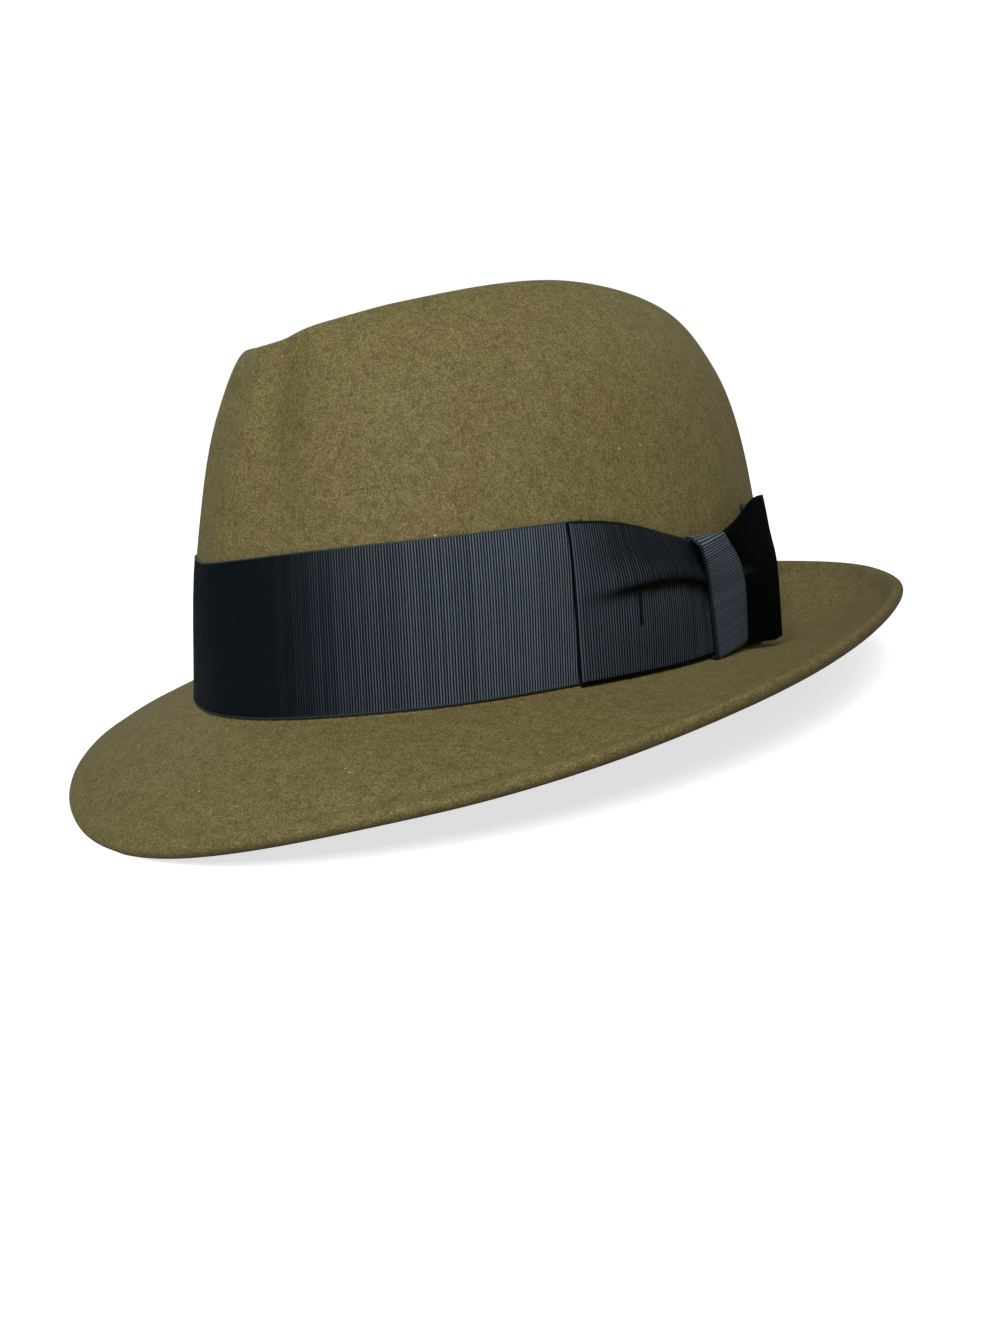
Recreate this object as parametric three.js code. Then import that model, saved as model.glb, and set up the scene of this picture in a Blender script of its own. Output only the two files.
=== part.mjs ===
// A felt fedora with a creased and pinched crown, a snapped brim, a ribbon band and a flat ribbon bow.
// All lengths are millimetres. The front of the hat faces -Y, the wearer's left is +X and up is +Z.
// Angles around the head start at the front and grow towards the wearer's left.

import * as THREE from 'three';

// Oval of the head, measured over the felt at the foot of the crown
const headLength = 212;
const headWidth = 156.4;
const frontFullness = 0.06; // share by which the oval is wider in front than in the middle
const footRise = 8; // how far the crown's foot rises behind the sides over its level there
const breakRadius = 1.2; // soft corner from crown to brim

// Felt
const feltThickness = 2;
const weltWidth = 6.5; // the edge is turned under and felted to the underside
const weltExtra = 1.2; // what the turned edge adds to the thickness
const weltStep = 0.8; // width of the step where the turned edge ends
const feltSettle = 0.8; // how far the felt gives way where it rests
const edgeRound = 0.42; // how far the edge bulges out, as a share of its thickness

// Crown
const crownHeight = 124;
const creaseDepth = 18; // below the ridge at the crease's two ends
const creaseToFront = 35; // from the front of the oval to the crease's front end
const creaseToBack = 55; // from the back of the oval to the crease's back end
const pinchDepth = 5;
const pinchAngle = 16; // each side of the front
const pinchHalfSpan = 14;

// Heights on the wall where the sections below are measured, as shares of the ridge's own height
const lowWall = 0.42;
const highWall = 0.82;

// How much of the pinch's depth is left at the low wall and at the ridge
const pinchAtLowWall = 0.25;
const pinchAtRidge = 0.6;

// Middle of the crease's side, as shares of the way in from the ridge and of the way down
const creaseSideIn = 0.45;
const creaseSideDown = 0.62;

// Brim
const brimWidth = 52;
const brimLeftStart = 1.1; // degrees that the wearer's left stands above the right, at the crown
const brimLeftEnd = 9; // the same at the brim's edge

// Ribbon
const ribbonWidth = 46;
const ribbonThickness = 1;
const bandLift = 1.2; // from the crown's foot to the ribbon's lower edge
const fitGap = 0.3; // between pieces that lie on each other

// Bow, placed along the crown's foot in lengths from the middle of its knot
const knotAngle = 101;
const panelLength = 53;
const panelThickness = 1.6; // two plies pressed together
const panelPuff = 1.2;
const pleatStep = 1.7; // how far the panel's upper part stands over its lower part
const pleatSoft = 0.03; // half the pleat's width, as a share of the ribbon's
const pleatFullTo = 0.85; // share of the panel's height up to which the pleat stands fully
const pleatFade = 0.7; // share of the pleat's step that is gone at the top edge
const panelHollow = 0.6; // share of the relief that the underside follows
const knotWidth = 16;
const knotEase = 0.6; // between the gathered ribbon and the knot around it
const knotSlant = 9; // the knot's foot lies this much further back than its middle, its head forward
const tailLength = 36;
const tailStandOff = 9.5; // of the tail's fold from the felt
const bandUnderPanel = 4;
const bandUnderTail = 30;

// The crown's foot: its height as a share of the foot's rise
const footTable = [
  { at: 0, rise: -0.57 },
  { at: 45, rise: 0 },
  { at: 80, rise: 0.66 },
  { at: 115, rise: 1 },
  { at: 150, rise: 0.45 },
  { at: 180, rise: 0 },
];

// Crown sections: ridge and left as shares of the crown's height, the rest as shares of half the
// head's width. The ridge stands higher by left on the wearer's left and lower by it on the right.
const crownTable = [
  { at: 0, ridge: 0.834, left: 0, ridgeIn: 0.262, highIn: 0.155, lowIn: 0.031 },
  { at: 25, ridge: 0.851, left: 0.0105, ridgeIn: 0.274, highIn: 0.138, lowIn: 0.027 },
  { at: 50, ridge: 0.907, left: 0.0144, ridgeIn: 0.457, highIn: 0.176, lowIn: 0.023 },
  { at: 90, ridge: 0.995, left: 0, ridgeIn: 0.487, highIn: 0.19, lowIn: 0.019 },
  { at: 135, ridge: 0.959, left: 0, ridgeIn: 0.425, highIn: 0.192, lowIn: 0.029 },
  { at: 180, ridge: 0.9, left: 0, ridgeIn: 0.419, highIn: 0.184, lowIn: 0.037 },
];

// Brim sections: width as a share of the brim's width, slope in degrees at the crown and at the edge
const brimTable = [
  { at: 0, width: 0.933, start: -27, end: -52 },
  { at: 45, width: 0.958, start: -12.4, end: -30.4 },
  { at: 90, width: 0.983, start: -12.3, end: 14.9 },
  { at: 135, width: 0.977, start: 0.6, end: 47 },
  { at: 180, width: 0.971, start: 21, end: 54 },
];

// Front loop of the bow from its front fold to the knot. Heights are shares of the ribbon's width,
// puff and pleat are shares of the panel's puff and of the pleat's step.
const panelTable = [
  { at: 0, foot: 0, top: 1.01, pleatAt: 0.55, puff: 0, pleat: 0 },
  { at: 0.2, foot: 0, top: 0.96, pleatAt: 0.55, puff: 0.5, pleat: 0.15 },
  { at: 0.42, foot: 0, top: 0.88, pleatAt: 0.59, puff: 1, pleat: 0.85 },
  { at: 0.64, foot: 0, top: 0.83, pleatAt: 0.57, puff: 0.8, pleat: 1 },
  { at: 0.83, foot: 0.01, top: 0.79, pleatAt: 0.53, puff: 0.1, pleat: 0.15 },
  { at: 1, foot: 0.02, top: 0.78, pleatAt: 0.5, puff: 0, pleat: 0 },
];

// How far back the bow leans at a height, in shares of the ribbon's width and of the knot's slant
const leanTable = [
  { at: 0, slant: 1 },
  { at: 0.25, slant: 0.75 },
  { at: 0.6, slant: 0.3 },
  { at: 0.8, slant: -0.35 },
  { at: 1, slant: -0.6 },
];

// Knot strap from its foot to its head, turned in at both: up is a share of the way between them,
// out a share of its reach from the felt
const knotTable = [
  { up: 0, out: 0 },
  { up: 0, out: 0.6 },
  { up: 0.03, out: 0.9 },
  { up: 0.09, out: 1 },
  { up: 0.35, out: 1 },
  { up: 0.6, out: 1 },
  { up: 0.8, out: 1 },
  { up: 0.91, out: 1 },
  { up: 0.97, out: 0.9 },
  { up: 1, out: 0.6 },
  { up: 1, out: 0 },
];

// Rear loop of the bow, along its ribbon: out from the knot to the fold and back under itself.
// Along is a share of the tail's length, out of its stand-off, foot and top of the ribbon's width.
const tailTable = [
  { along: 0.12, out: 0.27, foot: 0.03, top: 0.78 },
  { along: 0.26, out: 0.29, foot: 0.03, top: 0.8 },
  { along: 0.48, out: 0.54, foot: 0.02, top: 0.92 },
  { along: 0.75, out: 0.84, foot: 0, top: 1.02 },
  { along: 0.97, out: 1, foot: 0, top: 1.05 },
  { along: 1.02, out: 0.84, foot: 0.01, top: 1.04 },
  { along: 0.96, out: 0.66, foot: 0.01, top: 0.99 },
  { along: 0.7, out: 0.45, foot: 0.02, top: 0.92 },
  { along: 0.4, out: 0.17, foot: 0.03, top: 0.82 },
  { along: 0.12, out: 0.1, foot: 0.03, top: 0.78 },
];

// How finely the pieces are divided: around the head, out over the brim and up each span of the crown
const columns = 64;
const brimRings = 6;
const slopeSteps = 4;
const breakRings = 2;
const spanRings = [3, 4, 4, 3, 3];
const weltRings = 3;

// Divisions of the ribbon pieces, as shares of their length and height
const bandRows = [0, 0.35, 0.7, 1];
const panelAlong = [0, 0.06, 0.14, 0.24, 0.34, 0.44, 0.54, 0.64, 0.74, 0.84, 0.92, 1];
const panelRows = [0, 0.12, 0.28, 0.44, 0.52, 0.56, 0.6, 0.66, 0.78, 0.9, 1];
const knotAcross = [-0.5, -0.3, 0, 0.3, 0.5];
const tailRows = [0, 0.2, 0.4, 0.6, 0.8, 1];
const tailSteps = 21;

const degrees = THREE.MathUtils.degToRad;
const halfLength = headLength / 2;
const halfWidth = headWidth / 2;
const panelBase = 2 * fitGap + ribbonThickness; // from the felt to the panel, over the band
const aroundKnot = 90; // degrees each side of the knot that the bow may take
const ridgePlace = 3; // number of the section's point on the ridge

// The knot's foot lies below the front loop's end and its head over the rear loop's start
const knotFoot = panelTable[panelTable.length - 1].foot * ribbonWidth - knotEase - ribbonThickness;
const knotHead = tailTable[1].top * ribbonWidth + knotEase + ribbonThickness;

// Smooth curve through a table's rows, with the slope at each row taken from its two neighbours
function tableValue(rows, key, at) {
  let i = rows.findIndex((row) => row.at > at) - 1;
  if (i < 0) {
    i = at <= rows[0].at ? 0 : rows.length - 2;
  }
  const slope = (k) => {
    const before = rows[Math.max(k - 1, 0)];
    const after = rows[Math.min(k + 1, rows.length - 1)];
    return (after[key] - before[key]) / (after.at - before.at);
  };
  const [a, b] = [rows[i], rows[i + 1]];
  const span = b.at - a.at;
  const t = THREE.MathUtils.clamp((at - a.at) / span, 0, 1);
  const ease = t * t * (3 - 2 * t);
  const bend = span * (slope(i) * t * (1 - t) ** 2 - slope(i + 1) * t * t * (1 - t));
  return a[key] * (1 - ease) + b[key] * ease + bend;
}

// The same for a table that runs from the front to the back and is alike on both sides
function aroundHead(rows, key, angle) {
  const mirrored = rows.slice(1, 2).map((row) => ({ ...row, at: -row.at }));
  const beyond = rows.slice(-2, -1).map((row) => ({ ...row, at: 360 - row.at }));
  return tableValue([...mirrored, ...rows, ...beyond], key, fromFront(angle));
}

// The same angle as degrees from the front to either side
function fromFront(angle) {
  return Math.abs(((angle + 540) % 360) - 180);
}

// Height of the crown's foot, its place in plan and the outward direction there
function foot(angle) {
  const a = degrees(angle);
  const x = halfWidth * Math.sin(a) * (1 + frontFullness * Math.cos(a));
  const y = -halfLength * Math.cos(a);
  const alongX = halfWidth * (Math.cos(a) + frontFullness * Math.cos(2 * a));
  const alongY = halfLength * Math.sin(a);
  const outward = new THREE.Vector2(alongY, -alongX).normalize();
  return { at: new THREE.Vector2(x, y), outward, z: aroundHead(footTable, 'rise', angle) * footRise };
}

// Where the section at this angle meets the crease in the top
function creaseEnd(angle) {
  const back = (1 - Math.cos(degrees(angle))) / 2;
  const y = THREE.MathUtils.lerp(creaseToFront - halfLength, halfLength - creaseToBack, back);
  const frontRidge = crownTable[0].ridge * crownHeight;
  const backRidge = crownTable[crownTable.length - 1].ridge * crownHeight;
  const z = THREE.MathUtils.lerp(frontRidge, backRidge, back) - creaseDepth;
  return { at: new THREE.Vector2(0, y), z };
}

// How strongly a front pinch acts at this angle, from 0 to 1
function pinchAt(angle) {
  const away = Math.min(Math.abs(fromFront(angle) - pinchAngle) / pinchHalfSpan, 1);
  return Math.cos((away * Math.PI) / 2) ** 2;
}

// One section of the crown, from its foot up the wall, over the ridge and down into the crease
function crownCurve(angle) {
  const base = foot(angle);
  const end = creaseEnd(angle);
  const inward = end.at.clone().sub(base.at);
  const reach = inward.length();
  inward.normalize();
  const pinch = pinchAt(angle);
  const value = (key) => aroundHead(crownTable, key, angle);
  const side = (angle + 360) % 360 <= 180 ? 1 : -1;
  const ridge = (value('ridge') + side * value('left')) * crownHeight;
  const up = (share) => base.z + (ridge - base.z) * share;
  const ridgeIn = value('ridgeIn') * halfWidth + pinch * pinchDepth * pinchAtRidge;
  const slopeIn = THREE.MathUtils.lerp(ridgeIn, reach, creaseSideIn);
  const slopeHeight = THREE.MathUtils.lerp(ridge, end.z, creaseSideDown);
  const section = [
    [0, base.z],
    [value('lowIn') * halfWidth + pinch * pinchDepth * pinchAtLowWall, up(lowWall)],
    [value('highIn') * halfWidth + pinch * pinchDepth, up(highWall)],
    [ridgeIn, ridge],
    [slopeIn, slopeHeight],
    [reach, end.z],
    [2 * reach - slopeIn, slopeHeight],
  ];
  const points = section.map(([into, z]) => new THREE.Vector3(
    base.at.x + inward.x * into,
    base.at.y + inward.y * into,
    z,
  ));
  return new THREE.CatmullRomCurve3(points, false, 'centripetal');
}

// Point on the crown's curve: whole numbers are the section's own points, counted from the foot
function crownPoint(curve, place) {
  return curve.getPoint(place / (curve.points.length - 1));
}

// One section of the brim's upper side, from the crown's foot out to the edge
function brimPoints(angle) {
  const base = foot(angle);
  const left = Math.sin(degrees(angle));
  const width = aroundHead(brimTable, 'width', angle) * brimWidth;
  const start = aroundHead(brimTable, 'start', angle) + left * brimLeftStart;
  const end = aroundHead(brimTable, 'end', angle) + left * brimLeftEnd;
  const flat = width - weltWidth;
  const stops = [];
  for (let i = 1; i <= brimRings; i += 1) {
    stops.push((flat * i) / brimRings);
  }
  stops.push(flat + weltStep, flat + weltWidth / 2, width);
  const points = [];
  let out = 0;
  let z = base.z;
  let from = 0;
  for (const stop of stops) {
    const step = (stop - from) / slopeSteps;
    for (let k = 0; k < slopeSteps; k += 1) {
      const slope = degrees(start + ((end - start) * (from + (k + 0.5) * step)) / width);
      out += Math.cos(slope) * step;
      z += Math.sin(slope) * step;
    }
    from = stop;
    points.push(new THREE.Vector3(
      base.at.x + base.outward.x * out,
      base.at.y + base.outward.y * out,
      z,
    ));
  }
  return points;
}

// Soft corner between the first point of the brim and the wall
function breakPoints(angle, curve) {
  const base = foot(angle);
  const corner = new THREE.Vector3(base.at.x, base.at.y, base.z);
  const onWall = wallPlace(curve, breakRadius).point;
  const onBrim = brimPoints(angle)[0].sub(corner).setLength(breakRadius).add(corner);
  const bend = new THREE.QuadraticBezierCurve3(onBrim, corner, onWall);
  return bend.getPoints(breakRings);
}

// Point at a height up the wall, measured along its curve, with the direction up the wall there
function wallPlace(curve, height) {
  const step = ridgePlace / 150;
  let point = crownPoint(curve, 0);
  let climbed = 0;
  for (let place = step; place < ridgePlace; place += step) {
    const next = crownPoint(curve, place);
    const length = next.distanceTo(point);
    if (climbed + length >= height) {
      const share = (height - climbed) / length;
      const up = next.clone().sub(point).normalize();
      return { point: point.lerp(next, share), up };
    }
    climbed += length;
    point = next;
  }
  return { point, up: new THREE.Vector3(0, 0, 1) };
}

// Point beside the wall: an angle, a height up the wall and a distance out from the felt
function besideWall(angle, height, out) {
  const { outward } = foot(angle);
  const curve = crownCurve(angle);
  const { point, up } = wallPlace(curve, Math.max(height, 0));
  const along = new THREE.Vector3(-outward.y, outward.x, 0);
  const away = along.cross(up).normalize();
  return point.addScaledVector(away, out);
}

// Closed solid between an outer and an inner grid of points. Rows run towards the back of the hat
// and the places in a row run up the wall.
function solidBetween(outer, inner) {
  const rows = outer.length;
  const perRow = outer[0].length;
  const toInner = rows * perRow;
  const triangles = [];
  const quad = (a, b, c, d) => triangles.push(a, c, b, a, d, c);
  const rim = (a, b) => quad(a, b, b + toInner, a + toInner);
  for (let row = 0; row < rows - 1; row += 1) {
    const start = row * perRow;
    for (let place = 0; place < perRow - 1; place += 1) {
      const [a, b] = [start + place, start + place + 1];
      const [c, d] = [b + perRow, a + perRow];
      quad(a, b, c, d);
      quad(a + toInner, d + toInner, c + toInner, b + toInner);
    }
    rim(start, start + perRow);
    rim(start + 2 * perRow - 1, start + perRow - 1);
  }
  for (let place = 0; place < perRow - 1; place += 1) {
    const last = toInner - perRow + place;
    rim(place + 1, place);
    rim(last, last + 1);
  }
  return indexed([...outer.flat(), ...inner.flat()], triangles);
}

function indexed(points, triangles) {
  const geometry = new THREE.BufferGeometry().setFromPoints(points);
  geometry.setIndex(triangles);
  geometry.computeVertexNormals();
  return geometry;
}

// The felt's upper side as rings from the brim's edge to the crease, and how thick it is under each
function feltRings() {
  const rings = [];
  const thickness = [];
  for (let column = 0; column < columns; column += 1) {
    const angle = (360 * column) / columns;
    const curve = crownCurve(angle);
    const path = [...brimPoints(angle).reverse(), ...breakPoints(angle, curve)];
    spanRings.forEach((count, span) => {
      for (let i = 1; i <= count; i += 1) {
        path.push(crownPoint(curve, span + i / count));
      }
    });
    path.forEach((point, ring) => {
      rings[ring] = rings[ring] || [];
      rings[ring][column] = point;
      thickness[ring] = feltThickness + (ring < weltRings ? weltExtra : 0);
    });
  }
  return { rings, thickness };
}

// The hat's body: one sheet of felt, thick below its upper side, with a rounded edge
function feltGeometry(settle) {
  const { rings, thickness } = feltRings();
  const crease = rings.pop();
  thickness.pop();
  const points = [...rings.flat(), ...crease.slice(0, columns / 2 + 1)];
  const creaseStart = rings.length * columns;
  const onCrease = (column) => creaseStart + Math.min(column % columns, (columns - column) % columns);
  const triangles = [];
  for (let ring = 0; ring < rings.length; ring += 1) {
    for (let column = 0; column < columns; column += 1) {
      const next = (column + 1) % columns;
      const [a, b] = [ring * columns + column, ring * columns + next];
      const isLast = ring === rings.length - 1;
      const c = isLast ? onCrease(next) : b + columns;
      const d = isLast ? onCrease(column) : a + columns;
      triangles.push(a, b, c);
      if (c !== d) {
        triangles.push(a, c, d);
      }
    }
  }
  const sheet = indexed(points, triangles);
  const normals = sheet.getAttribute('normal');
  const under = points.map((point, i) => {
    const depth = thickness[Math.floor(i / columns)] || feltThickness;
    const normal = new THREE.Vector3().fromBufferAttribute(normals, i);
    return point.clone().addScaledVector(normal, -depth);
  });
  const edge = points.slice(0, columns).map((point, column) => {
    const away = point.clone().sub(points[column + columns]).normalize();
    const bulge = (feltThickness + weltExtra) * edgeRound;
    return point.clone().lerp(under[column], 0.5).addScaledVector(away, bulge);
  });
  const all = [...points, ...under, ...edge];
  const underStart = points.length;
  const edgeStart = underStart + under.length;
  const solid = [...triangles];
  for (let i = 0; i < triangles.length; i += 3) {
    const [a, b, c] = triangles.slice(i, i + 3);
    solid.push(a + underStart, c + underStart, b + underStart);
  }
  for (let column = 0; column < columns; column += 1) {
    const next = (column + 1) % columns;
    const [a, b] = [edgeStart + column, edgeStart + next];
    solid.push(a, b, next, a, next, column);
    solid.push(underStart + column, underStart + next, b, underStart + column, b, a);
  }
  return indexed(all.map(settle), solid);
}

// Lengths along the crown's foot for each degree around the knot
const footLengths = [];
for (let turn = -aroundKnot; turn <= aroundKnot; turn += 1) {
  const angle = knotAngle + turn;
  const place = foot(angle).at;
  const last = footLengths[footLengths.length - 1];
  const at = last ? last.at + last.place.distanceTo(place) : 0;
  footLengths.push({ at, angle, place });
}

// Angle of a place along the foot, measured back from the middle of the knot
function bowAngle(back) {
  return tableValue(footLengths, 'angle', footLengths[aroundKnot].at + back);
}

// How far back the bow leans at a height, given as a share of the ribbon's width
function leanBack(share) {
  return tableValue(leanTable, 'slant', share) * knotSlant;
}

// Ribbon band, open under the bow: its two ends lie below the front loop and the rear loop
function bandGeometry() {
  const start = bowAngle(-panelLength + bandUnderPanel);
  const end = bowAngle(bandUnderTail) - 360;
  const stops = [end];
  const [spacing, margin] = [360 / columns, 90 / columns];
  for (let angle = -360; angle < 360; angle += spacing) {
    if (angle > end + margin && angle < start - margin) {
      stops.push(angle);
    }
  }
  stops.push(start);
  const heights = bandRows.map((share) => bandLift + share * ribbonWidth);
  const grid = (out) => stops.map((angle) => heights.map(
    (height) => besideWall(angle, height, out),
  ));
  return solidBetween(grid(fitGap + ribbonThickness), grid(fitGap));
}

// Front loop of the bow, pressed flat on the band, narrowing into the knot with one deep pleat
function panelGeometry() {
  const rows = (isOuter) => panelAlong.map((at) => {
    const value = (key) => tableValue(panelTable, key, at);
    return panelRows.map((share) => {
      const width = THREE.MathUtils.lerp(value('foot'), value('top'), share);
      const height = bandLift + width * ribbonWidth;
      const slant = leanBack(width) * at;
      const back = -panelLength * (1 - at) + slant;
      const pleatAt = value('pleatAt');
      const overPleat = THREE.MathUtils.smoothstep(width, pleatAt - pleatSoft, pleatAt + pleatSoft);
      const downToTop = 1 - THREE.MathUtils.smoothstep(share, pleatFullTo, 1) * pleatFade;
      const puff = panelPuff * value('puff') * Math.sin(Math.PI * share);
      const rise = puff + pleatStep * value('pleat') * overPleat * downToTop;
      const out = isOuter ? panelThickness + rise : rise * panelHollow;
      return besideWall(bowAngle(back), height, panelBase + out);
    });
  });
  return solidBetween(rows(true), rows(false));
}

// Knot: a strap across the gathered ribbon, turned in at its foot and head
function knotGeometry() {
  const reach = panelBase + panelThickness + knotEase + ribbonThickness;
  const rows = (inset) => knotAcross.map((side) => knotTable.map(({ up, out }) => {
    const wanted = THREE.MathUtils.lerp(knotFoot, knotHead, up);
    const height = THREE.MathUtils.clamp(wanted, knotFoot + inset, knotHead - inset);
    const fromFelt = Math.max(out * reach - inset, fitGap);
    const back = leanBack(height / ribbonWidth) + side * knotWidth;
    return besideWall(bowAngle(back), bandLift + height, fromFelt);
  }));
  return solidBetween(rows(0), rows(ribbonThickness));
}

// Rear loop of the bow: one ply out to the fold and a second ply back below it
function tailGeometry() {
  const path = new THREE.CatmullRomCurve3(
    tailTable.map(({ along, out }) => new THREE.Vector3(along * tailLength, out * tailStandOff, 0)),
    false,
    'centripetal',
  );
  const rows = (side) => Array.from({ length: tailSteps }, (_, step) => {
    const place = step / (tailSteps - 1);
    const point = path.getPoint(place);
    const run = path.getTangent(place);
    const [x, out] = [point.x - run.y * side, point.y + run.x * side];
    const row = place * (tailTable.length - 1);
    const edges = tailTable.map((entry, at) => ({ ...entry, at }));
    const [low, high] = ['foot', 'top'].map((key) => tableValue(edges, key, row));
    return tailRows.map((share) => {
      const height = THREE.MathUtils.lerp(low, high, share);
      const back = x + leanBack(Math.min(height, 1));
      return besideWall(bowAngle(back), bandLift + height * ribbonWidth, out);
    });
  });
  return solidBetween(rows(ribbonThickness / 2), rows(-ribbonThickness / 2));
}

// The tilt and height at which the hat rests on the front of its brim and on the crown's foot behind
function restPose() {
  const points = feltGeometry((point) => point).getAttribute('position');
  const lowest = (tilt, wanted) => {
    const [sin, cos] = [Math.sin(tilt), Math.cos(tilt)];
    let low = Infinity;
    for (let i = 0; i < points.count; i += 1) {
      const [y, z] = [points.getY(i), points.getZ(i)];
      if (wanted(y)) {
        low = Math.min(low, y * sin + z * cos);
      }
    }
    return low;
  };
  let [less, more] = [degrees(-30), degrees(30)];
  for (let step = 0; step < 40; step += 1) {
    const tilt = (less + more) / 2;
    const frontIsLow = lowest(tilt, (y) => y < 0) < lowest(tilt, (y) => y >= 0);
    if (frontIsLow) {
      more = tilt;
    } else {
      less = tilt;
    }
  }
  const tilt = (less + more) / 2;
  return { tilt, lift: -lowest(tilt, () => true) - feltSettle };
}

const { tilt, lift } = restPose();

// Flattens what would lie below the floor
function settled(point) {
  const [sin, cos] = [Math.sin(tilt), Math.cos(tilt)];
  const height = point.y * sin + point.z * cos + lift;
  if (height < 0) {
    point.y -= height * sin;
    point.z -= height * cos;
  }
  return point;
}

function piece(name, geometry, color, roughness) {
  const material = new THREE.MeshStandardMaterial({ color, roughness, metalness: 0 });
  const mesh = new THREE.Mesh(geometry, material);
  mesh.name = name;
  return mesh;
}

const hat = new THREE.Group();
hat.rotation.x = tilt;
hat.add(piece('felt_body', feltGeometry(settled), 0x6b613e, 0.95));
hat.add(piece('hat_band', bandGeometry(), 0x20262c, 0.6));
hat.add(piece('bow_panel', panelGeometry(), 0x20262c, 0.6));
hat.add(piece('bow_knot', knotGeometry(), 0x3a424c, 0.6));
hat.add(piece('bow_tail', tailGeometry(), 0x0e1216, 0.6));

// The origin lies under the middle of the hat, on the surface that it rests on
const middle = new THREE.Box3().setFromObject(hat, true).getCenter(new THREE.Vector3());
hat.position.set(-middle.x, -middle.y, lift);

export default hat;
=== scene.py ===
import math

import bpy
import numpy as np
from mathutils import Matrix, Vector


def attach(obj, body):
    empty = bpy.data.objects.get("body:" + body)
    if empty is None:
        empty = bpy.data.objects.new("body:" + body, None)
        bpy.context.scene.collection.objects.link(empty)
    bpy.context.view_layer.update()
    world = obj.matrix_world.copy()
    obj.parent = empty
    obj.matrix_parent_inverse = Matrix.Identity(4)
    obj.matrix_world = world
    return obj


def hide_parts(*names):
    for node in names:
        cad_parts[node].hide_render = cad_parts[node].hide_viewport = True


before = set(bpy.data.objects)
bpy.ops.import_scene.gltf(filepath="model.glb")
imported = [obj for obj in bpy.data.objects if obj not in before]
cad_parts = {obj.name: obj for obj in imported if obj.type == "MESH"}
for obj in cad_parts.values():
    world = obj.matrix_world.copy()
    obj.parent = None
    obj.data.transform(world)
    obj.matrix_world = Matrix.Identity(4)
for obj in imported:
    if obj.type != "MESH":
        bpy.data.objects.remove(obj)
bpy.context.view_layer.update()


# Camera. It looks at the hat's left front from just above its brim, slightly rolled,
# and near enough that the front of the brim looks large.
camera = bpy.data.objects.new("camera", bpy.data.cameras.new("camera"))
camera.location = (0.33991, -0.26453, 0.11036)
camera.rotation_euler = [math.radians(turn) for turn in (77.5389, 7.3959, 50.6251)]
camera.data.sensor_width = 36
camera.data.lens = 34.4
camera.data.clip_start = 0.01
bpy.context.scene.collection.objects.link(camera)
bpy.context.scene.camera = camera


# Felt body. Crown and brim are one piece of fur felt, steamed over a block and creased by
# hand, with a pinch on each side of the front. The brim's edge is turned under and felted down.

# Lengths are millimetres until resting() turns them into metres. The front is at -Y, and
# angles are degrees from the front to the wearer's left.
head_length, head_width = 212, 156.4
front_fullness = 0.06
foot_rise = 8
break_radius, bend_top = 1.2, 0.025
felt_thickness = 2
crown_height = 124
crease_depth, crease_to_front, crease_to_back = 18, 35, 55
pinch_depth, pinch_angle, pinch_half_span = 5, 16, 14
low_wall, high_wall = 0.42, 0.82
pinch_at_low_wall, pinch_at_ridge = 0.25, 0.6
crease_side_in, crease_side_down = 0.45, 0.62
brim_width = 52
brim_left_start, brim_left_end = 1.1, 9

# Rise of the crown's foot, as a share of foot_rise
foot_table = [
    dict(at=0, rise=-0.57),
    dict(at=45, rise=0),
    dict(at=80, rise=0.66),
    dict(at=115, rise=1),
    dict(at=150, rise=0.45),
    dict(at=180, rise=0),
]

# Height of the ridge as a share of crown_height, with what the left side has over it and the
# right side under it, and the way in from the foot as shares of half the head's width
crown_table = [
    dict(at=0, ridge=0.834, left=0, ridge_in=0.262, high_in=0.155, low_in=0.031),
    dict(at=25, ridge=0.851, left=0.0105, ridge_in=0.274, high_in=0.138, low_in=0.027),
    dict(at=50, ridge=0.907, left=0.0144, ridge_in=0.457, high_in=0.176, low_in=0.023),
    dict(at=90, ridge=0.995, left=0, ridge_in=0.487, high_in=0.19, low_in=0.019),
    dict(at=135, ridge=0.959, left=0, ridge_in=0.425, high_in=0.192, low_in=0.029),
    dict(at=180, ridge=0.9, left=0, ridge_in=0.419, high_in=0.184, low_in=0.037),
]

# Width of the brim as a share of brim_width, and its slope in degrees at the crown and the edge
brim_table = [
    dict(at=0, width=0.933, start=-27, end=-52),
    dict(at=45, width=0.958, start=-12.4, end=-30.4),
    dict(at=90, width=0.983, start=-12.3, end=14.9),
    dict(at=135, width=0.977, start=0.6, end=47),
    dict(at=180, width=0.971, start=21, end=54),
]

# How the hat rests on the front of its brim and the foot of its crown: tilt and place
rest_tilt = math.radians(-8.19984)
rest_place = (-0.0294, -1.9462, 15.9545)


def table_value(rows, key, at):
    """Smooth curve through a table's rows, with each row's slope taken from its neighbours"""
    x = np.array([row["at"] for row in rows], float)
    y = np.array([row[key] for row in rows], float)
    before = np.maximum(np.arange(len(x)) - 1, 0)
    after = np.minimum(np.arange(len(x)) + 1, len(x) - 1)
    slope = (y[after] - y[before]) / (x[after] - x[before])
    at = np.asarray(at, float)
    i = np.clip(np.searchsorted(x, at, side="right") - 1, 0, len(x) - 2)
    span = x[i + 1] - x[i]
    t = np.clip((at - x[i]) / span, 0, 1)
    ease = t * t * (3 - 2 * t)
    bend = span * (slope[i] * t * (1 - t) ** 2 - slope[i + 1] * t * t * (1 - t))
    return y[i] * (1 - ease) + y[i + 1] * ease + bend


def from_front(angle):
    return np.abs((np.asarray(angle) + 540) % 360 - 180)


def around_head(rows, key, angle):
    """Value of a table from front to back, the same on both sides and smooth at both ends"""
    mirrored = [dict(rows[1], at=-rows[1]["at"])]
    beyond = [dict(rows[-2], at=360 - rows[-2]["at"])]
    return table_value(mirrored + rows + beyond, key, from_front(angle))


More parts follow.
